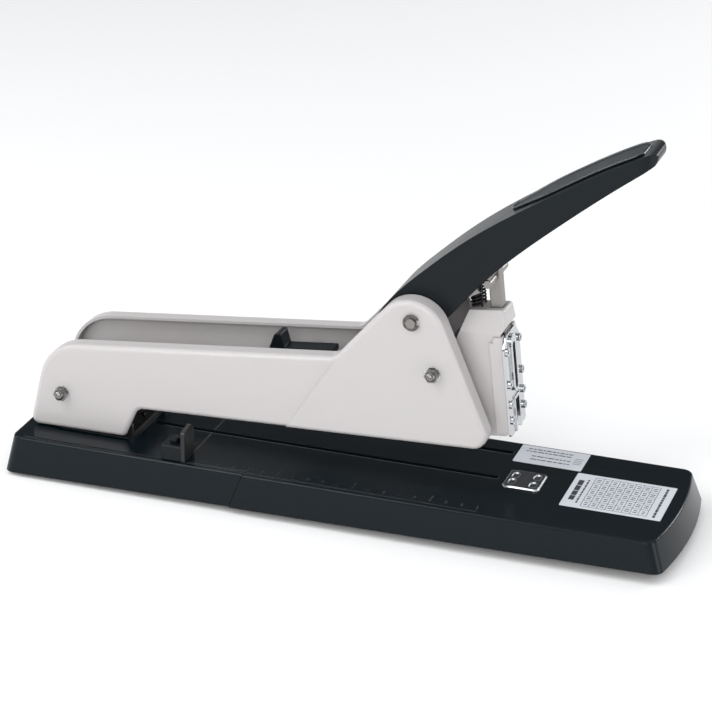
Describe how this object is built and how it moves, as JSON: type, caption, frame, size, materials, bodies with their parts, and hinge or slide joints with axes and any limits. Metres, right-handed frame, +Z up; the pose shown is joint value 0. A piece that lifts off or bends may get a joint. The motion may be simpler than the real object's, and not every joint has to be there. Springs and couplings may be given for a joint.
{
  "type": "long-reach stapler",
  "caption": "Long-reach heavy-duty stapler: deep flat base with turning anvil and depth guide, raised sheet-steel arm with head, plunger and long lever.",
  "frame": {"origin": "centre of the bounding box on the plane the feet stand on, arm at rest", "axes": "+X to the throat and lever end, +Y to the far side, +Z up"},
  "size_m": [0.4367, 0.1114, 0.252],
  "materials": {
    "slate_plastic": "satin moulded",
    "cream_paint": "satin paint on sheet steel",
    "black_paint": "satin black paint",
    "black_plastic": "moulded",
    "grip_plastic": "fine grain",
    "bright_chrome": "polished",
    "plain_steel": "ground",
    "spring_steel": "black oxide wire",
    "foot_rubber": "moulded",
    "label_film": "printed film"
  },
  "bodies": {
    "base": {"base_rear_cover": "slate_plastic", "base_front_cover": "slate_plastic", "chassis_plate": "plain_steel", "base_screws": "plain_steel", "rubber_feet": "foot_rubber", "spine_beam": "plain_steel", "pivot_bracket": "black_paint", "bracket_screws": "black_paint", "caution_label": "label_film", "chart_label": "label_film", "arm_spring": "spring_steel"},
    "anvil_lifter": {"anvil_spring": "spring_steel", "anvil_stem": "plain_steel"},
    "anvil": {"anvil_plate": "bright_chrome"},
    "guide": {"guide_stop": "black_paint", "guide_block": "black_plastic"},
    "guide_push": {"guide_button": "black_plastic"},
    "arm": {"arm_side_near": "cream_paint", "arm_side_far": "cream_paint", "pivot_bolt": "plain_steel", "cross_bolt": "plain_steel", "handle_pin": "plain_steel", "pin_clips": "spring_steel", "acorn_nuts": "bright_chrome", "nut_washers": "bright_chrome", "pivot_bushings": "plain_steel", "cross_spacer": "plain_steel", "spring_bridge": "cream_paint", "head_housing": "cream_paint", "head_wrap": "cream_paint", "front_plate": "bright_chrome", "front_plate_screws": "bright_chrome", "head_mounts": "cream_paint", "return_springs": "spring_steel", "magazine_rail": "plain_steel", "magazine_core": "plain_steel", "staple_strip": "bright_chrome", "pusher_rod": "plain_steel", "rod_holder": "plain_steel"},
    "lever": {"handle_shell": "black_plastic", "handle_pad": "grip_plastic", "handle_frame": "plain_steel"},
    "plunger": {"plunger_bar": "plain_steel", "plunger_pin": "plain_steel", "driver_blade": "plain_steel"},
    "magazine_pusher": {"pusher": "black_plastic"}
  },
  "joints": [
    {"name": "arm_pivot", "type": "hinge", "parent": "base", "child": "arm", "pos_m": [-0.1852, 0, 0.0525], "axis": [0, 1, 0], "range_deg": [0, 6], "stiffness_Nm_per_rad": 60, "springref_deg": -3.44, "deforming": ["arm_spring"]},
    {"name": "lever_pivot", "type": "hinge", "parent": "arm", "child": "lever", "pos_m": [0.0495, 0, 0.13659], "axis": [0, 1, 0], "range_deg": [0, 20], "stiffness_Nm_per_rad": 3, "springref_deg": -20.05, "deforming": ["return_springs"]},
    {"name": "plunger_slide", "type": "slide", "parent": "arm", "child": "plunger", "axis": [0.1045, 0, -0.9945], "range_m": [0, 0.017]},
    {"name": "pusher_slide", "type": "slide", "parent": "arm", "child": "magazine_pusher", "axis": [0.9945, 0, 0.1045], "range_m": [-0.026, 0], "stiffness_N_per_m": 40, "springref_m": 0.05},
    {"name": "depth_guide_slide", "type": "slide", "parent": "base", "child": "guide", "axis": [1, 0, 0], "range_m": [-0.06, 0.175]},
    {"name": "guide_button_press", "type": "slide", "parent": "guide", "child": "guide_push", "axis": [0, 0, -1], "range_m": [0, 0.0025], "stiffness_N_per_m": 600, "springref_m": -0.001},
    {"name": "anvil_lift", "type": "slide", "parent": "base", "child": "anvil_lifter", "axis": [0, 0, 1], "range_m": [0, 0.003], "stiffness_N_per_m": 400, "springref_m": -0.002, "deforming": ["anvil_spring"]},
    {"name": "anvil_turn", "type": "hinge", "parent": "anvil_lifter", "child": "anvil", "pos_m": [0.113, 0, 0.026], "axis": [0, 0, 1], "range_deg": [0, 180]}
  ],
  "couplings": [
    {"joint": "plunger_slide", "follows": "lever_pivot", "m_per_rad": 0.0482}
  ]
}
